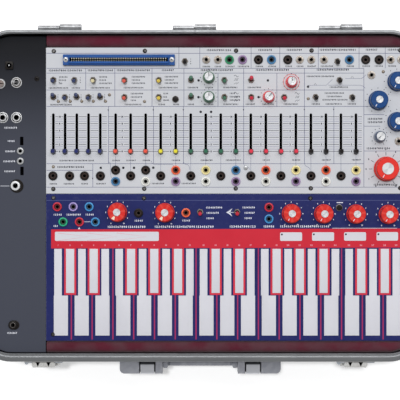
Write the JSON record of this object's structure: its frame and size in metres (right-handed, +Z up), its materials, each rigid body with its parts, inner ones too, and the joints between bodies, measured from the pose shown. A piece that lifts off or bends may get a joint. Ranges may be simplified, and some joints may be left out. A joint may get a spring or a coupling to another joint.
{
  "type": "modular synthesizer",
  "caption": "Portable modular synthesizer built into a hard carrying case, with slide controls, knobs, switches, banana sockets and touch plates.",
  "frame": {"origin": "on the floor, under the middle of the whole object's box", "axes": "+X to the player's right, +Y away from the player, +Z up"},
  "size_m": [0.5416, 0.4294, 0.1035],
  "materials": {
    "case_metal": "hard grey lacquer",
    "rim_metal": "satin extrusion",
    "padding": "short maroon plush over foam",
    "chassis_metal": "bare folded sheet",
    "circuit_board": "green solder mask",
    "white_paint": "cool white satin",
    "blue_board": "dark blue solder mask with white plates",
    "charcoal_paint": "charcoal satin",
    "bright_metal": "bright nickel",
    "grey_plastic": "moulded",
    "black_plastic": "moulded",
    "blue_plastic": "moulded",
    "red_plastic": "moulded",
    "orange_plastic": "moulded",
    "yellow_plastic": "moulded",
    "green_plastic": "moulded",
    "crimson_plastic": "moulded"
  },
  "bodies": {
    "case": {"case_shell": "case_metal", "case_rim": "rim_metal", "case_padding": "padding", "chassis_tray": "chassis_metal", "main_circuit_board": "circuit_board", "main_panel": "white_paint", "card_connector": "blue_plastic", "keyboard_panel": "blue_board", "side_panel": "charcoal_paint", "handle_base": "grey_plastic", "latch_base_left": "bright_metal", "latch_base_right": "bright_metal", "hinge_left": "bright_metal", "hinge_middle": "bright_metal", "hinge_right": "bright_metal"},
    "sliders_blue": {"sliders_blue": "blue_plastic"},
    "slider_orange_1": {"slider_orange_1": "orange_plastic"},
    "slider_orange_2": {"slider_orange_2": "orange_plastic"},
    "slider_orange_3": {"slider_orange_3": "orange_plastic"},
    "slider_yellow_1": {"slider_yellow_1": "yellow_plastic"},
    "slider_yellow_2": {"slider_yellow_2": "yellow_plastic"},
    "slider_green_1": {"slider_green_1": "green_plastic"},
    "slider_green_2": {"slider_green_2": "green_plastic"},
    "slider_green_3": {"slider_green_3": "green_plastic"},
    "slider_green_4": {"slider_green_4": "green_plastic"},
    "slider_crimson_1": {"slider_crimson_1": "crimson_plastic"},
    "slider_crimson_2": {"slider_crimson_2": "crimson_plastic"},
    "slider_crimson_3": {"slider_crimson_3": "crimson_plastic"},
    "slider_crimson_4": {"slider_crimson_4": "crimson_plastic"},
    "slider_black_1": {"slider_black_1": "black_plastic"},
    "slider_black_2": {"slider_black_2": "black_plastic"},
    "slider_black_3": {"slider_black_3": "black_plastic"},
    "slider_black_4": {"slider_black_4": "black_plastic"},
    "knob_green_back": {"knob_green_back": "green_plastic"},
    "knob_green_front": {"knob_green_front": "green_plastic"},
    "knob_crimson_back": {"knob_crimson_back": "crimson_plastic"},
    "knob_crimson_front": {"knob_crimson_front": "crimson_plastic"},
    "knob_grey": {"knob_grey": "grey_plastic"},
    "knob_blue_back": {"knob_blue_back": "blue_plastic"},
    "knob_blue_middle": {"knob_blue_middle": "blue_plastic"},
    "knob_blue_front": {"knob_blue_front": "blue_plastic"},
    "knob_master": {"knob_master": "red_plastic"},
    "knob_keyboard_1": {"knob_keyboard_1": "red_plastic"},
    "knob_keyboard_2": {"knob_keyboard_2": "red_plastic"},
    "knob_keyboard_3": {"knob_keyboard_3": "red_plastic"},
    "knob_keyboard_4": {"knob_keyboard_4": "red_plastic"},
    "knob_keyboard_5": {"knob_keyboard_5": "red_plastic"},
    "knob_keyboard_6": {"knob_keyboard_6": "red_plastic"},
    "toggles_top": {"toggles_top": "blue_plastic"},
    "toggles_back_down": {"toggles_back_down": "blue_plastic"},
    "toggles_back_up": {"toggles_back_up": "blue_plastic"},
    "toggles_front_down": {"toggles_front_down": "blue_plastic"},
    "toggles_front_up": {"toggles_front_up": "blue_plastic"},
    "toggles_keyboard": {"toggles_keyboard": "red_plastic"},
    "power_switch_lever": {"power_switch_lever": "bright_metal"},
    "button_main": {"button_main": "black_plastic"},
    "button_keyboard": {"button_keyboard": "black_plastic"},
    "handle_grip": {"handle_grip": "grey_plastic"},
    "latch_lever_left": {"latch_lever_left": "bright_metal"},
    "latch_lever_right": {"latch_lever_right": "bright_metal"}
  },
  "joints": [
    {"name": "sliders_blue_slide", "type": "slide", "parent": "case", "child": "sliders_blue", "axis": [0, 1, 0], "range_m": [0, 0.0425]},
    {"name": "slider_orange_1_slide", "type": "slide", "parent": "case", "child": "slider_orange_1", "axis": [0, 1, 0], "range_m": [0, 0.0425]},
    {"name": "slider_orange_2_slide", "type": "slide", "parent": "case", "child": "slider_orange_2", "axis": [0, 1, 0], "range_m": [0, 0.0425]},
    {"name": "slider_orange_3_slide", "type": "slide", "parent": "case", "child": "slider_orange_3", "axis": [0, 1, 0], "range_m": [0, 0.0425]},
    {"name": "slider_yellow_1_slide", "type": "slide", "parent": "case", "child": "slider_yellow_1", "axis": [0, 1, 0], "range_m": [0, 0.0425]},
    {"name": "slider_yellow_2_slide", "type": "slide", "parent": "case", "child": "slider_yellow_2", "axis": [0, 1, 0], "range_m": [0, 0.0425]},
    {"name": "slider_green_1_slide", "type": "slide", "parent": "case", "child": "slider_green_1", "axis": [0, 1, 0], "range_m": [0, 0.0425]},
    {"name": "slider_green_2_slide", "type": "slide", "parent": "case", "child": "slider_green_2", "axis": [0, 1, 0], "range_m": [0, 0.0425]},
    {"name": "slider_green_3_slide", "type": "slide", "parent": "case", "child": "slider_green_3", "axis": [0, 1, 0], "range_m": [0, 0.0425]},
    {"name": "slider_green_4_slide", "type": "slide", "parent": "case", "child": "slider_green_4", "axis": [0, 1, 0], "range_m": [0, 0.0425]},
    {"name": "slider_crimson_1_slide", "type": "slide", "parent": "case", "child": "slider_crimson_1", "axis": [0, 1, 0], "range_m": [0, 0.0425]},
    {"name": "slider_crimson_2_slide", "type": "slide", "parent": "case", "child": "slider_crimson_2", "axis": [0, 1, 0], "range_m": [0, 0.0425]},
    {"name": "slider_crimson_3_slide", "type": "slide", "parent": "case", "child": "slider_crimson_3", "axis": [0, 1, 0], "range_m": [0, 0.0425]},
    {"name": "slider_crimson_4_slide", "type": "slide", "parent": "case", "child": "slider_crimson_4", "axis": [0, 1, 0], "range_m": [0, 0.0425]},
    {"name": "slider_black_1_slide", "type": "slide", "parent": "case", "child": "slider_black_1", "axis": [0, 1, 0], "range_m": [0, 0.0425]},
    {"name": "slider_black_2_slide", "type": "slide", "parent": "case", "child": "slider_black_2", "axis": [0, 1, 0], "range_m": [0, 0.0425]},
    {"name": "slider_black_3_slide", "type": "slide", "parent": "case", "child": "slider_black_3", "axis": [0, 1, 0], "range_m": [0, 0.0425]},
    {"name": "slider_black_4_slide", "type": "slide", "parent": "case", "child": "slider_black_4", "axis": [0, 1, 0], "range_m": [0, 0.0425]},
    {"name": "knob_green_back_turn", "type": "hinge", "parent": "case", "child": "knob_green_back", "pos_m": [0.01046, 0.14966, 0.086], "axis": [0, 0, -1], "range_deg": [-150, 150]},
    {"name": "knob_green_front_turn", "type": "hinge", "parent": "case", "child": "knob_green_front", "pos_m": [0.01046, 0.12581, 0.086], "axis": [0, 0, -1], "range_deg": [-150, 150]},
    {"name": "knob_crimson_back_turn", "type": "hinge", "parent": "case", "child": "knob_crimson_back", "pos_m": [0.11123, 0.14414, 0.086], "axis": [0, 0, -1], "range_deg": [-150, 150]},
    {"name": "knob_crimson_front_turn", "type": "hinge", "parent": "case", "child": "knob_crimson_front", "pos_m": [0.08339, 0.12581, 0.086], "axis": [0, 0, -1], "range_deg": [-195, 105]},
    {"name": "knob_grey_turn", "type": "hinge", "parent": "case", "child": "knob_grey", "pos_m": [0.21864, 0.07739, 0.086], "axis": [0, 0, -1], "range_deg": [0, 300]},
    {"name": "knob_blue_back_turn", "type": "hinge", "parent": "case", "child": "knob_blue_back", "pos_m": [0.23986, 0.14485, 0.086], "axis": [0, 0, -1], "range_deg": [0, 300]},
    {"name": "knob_blue_middle_turn", "type": "hinge", "parent": "case", "child": "knob_blue_middle", "pos_m": [0.21687, 0.12171, 0.086], "axis": [0, 0, -1], "range_deg": [0, 300]},
    {"name": "knob_blue_front_turn", "type": "hinge", "parent": "case", "child": "knob_blue_front", "pos_m": [0.23986, 0.09573, 0.086], "axis": [0, 0, -1], "range_deg": [0, 300]},
    {"name": "knob_master_turn", "type": "hinge", "parent": "case", "child": "knob_master", "pos_m": [0.2266, 0.03805, 0.086], "axis": [0, 0, -1], "range_deg": [0, 300]},
    {"name": "knob_keyboard_1_turn", "type": "hinge", "parent": "case", "child": "knob_keyboard_1", "pos_m": [-0.10093, -0.01482, 0.086], "axis": [0, 0, -1], "range_deg": [0, 300]},
    {"name": "knob_keyboard_2_turn", "type": "hinge", "parent": "case", "child": "knob_keyboard_2", "pos_m": [-0.04302, -0.01518, 0.086], "axis": [0, 0, -1], "range_deg": [0, 300]},
    {"name": "knob_keyboard_3_turn", "type": "hinge", "parent": "case", "child": "knob_keyboard_3", "pos_m": [0.11123, -0.01644, 0.086], "axis": [0, 0, -1], "range_deg": [0, 300]},
    {"name": "knob_keyboard_4_turn", "type": "hinge", "parent": "case", "child": "knob_keyboard_4", "pos_m": [0.15057, -0.01662, 0.086], "axis": [0, 0, -1], "range_deg": [0, 300]},
    {"name": "knob_keyboard_5_turn", "type": "hinge", "parent": "case", "child": "knob_keyboard_5", "pos_m": [0.18991, -0.01697, 0.086], "axis": [0, 0, -1], "range_deg": [0, 300]},
    {"name": "knob_keyboard_6_turn", "type": "hinge", "parent": "case", "child": "knob_keyboard_6", "pos_m": [0.22925, -0.01733, 0.086], "axis": [0, 0, -1], "range_deg": [0, 300]},
    {"name": "toggles_top_turn", "type": "hinge", "parent": "case", "child": "toggles_top", "pos_m": [-0.01871, 0.16942, 0.085], "axis": [-1, 0, 0], "range_deg": [0, 22]},
    {"name": "toggles_back_down_turn", "type": "hinge", "parent": "case", "child": "toggles_back_down", "pos_m": [-0.17916, 0.14663, 0.085], "axis": [-1, 0, 0], "range_deg": [0, 22]},
    {"name": "toggles_back_up_turn", "type": "hinge", "parent": "case", "child": "toggles_back_up", "pos_m": [-0.0112, 0.14663, 0.085], "axis": [1, 0, 0], "range_deg": [0, 22]},
    {"name": "toggles_front_down_turn", "type": "hinge", "parent": "case", "child": "toggles_front_down", "pos_m": [-0.16502, 0.12581, 0.085], "axis": [-1, 0, 0], "range_deg": [0, 22]},
    {"name": "toggles_front_up_turn", "type": "hinge", "parent": "case", "child": "toggles_front_up", "pos_m": [-0.17916, 0.12581, 0.085], "axis": [1, 0, 0], "range_deg": [0, 22]},
    {"name": "toggles_keyboard_turn", "type": "hinge", "parent": "case", "child": "toggles_keyboard", "pos_m": [-0.00015, -0.01447, 0.085], "axis": [-1, 0, 0], "range_deg": [0, 22]},
    {"name": "power_switch_lever_turn", "type": "hinge", "parent": "case", "child": "power_switch_lever", "pos_m": [-0.22411, 0.14351, 0.085], "axis": [0, 1, 0], "range_deg": [0, 22]},
    {"name": "button_main_slide", "type": "slide", "parent": "case", "child": "button_main", "axis": [0, 0, -1], "range_m": [0, 0.0015], "stiffness_N_per_m": 100, "springref_m": -0.002},
    {"name": "button_keyboard_slide", "type": "slide", "parent": "case", "child": "button_keyboard", "axis": [0, 0, -1], "range_m": [0, 0.0015], "stiffness_N_per_m": 100, "springref_m": -0.002},
    {"name": "handle_grip_turn", "type": "hinge", "parent": "case", "child": "handle_grip", "pos_m": [0, -0.20465, 0.058], "axis": [-1, 0, 0], "range_deg": [0, 100]},
    {"name": "latch_lever_left_turn", "type": "hinge", "parent": "case", "child": "latch_lever_left", "pos_m": [-0.19102, -0.20085, 0.0645], "axis": [1, 0, 0], "range_deg": [0, 100]},
    {"name": "latch_lever_right_turn", "type": "hinge", "parent": "case", "child": "latch_lever_right", "pos_m": [0.18956, -0.20085, 0.0645], "axis": [1, 0, 0], "range_deg": [0, 100]}
  ]
}
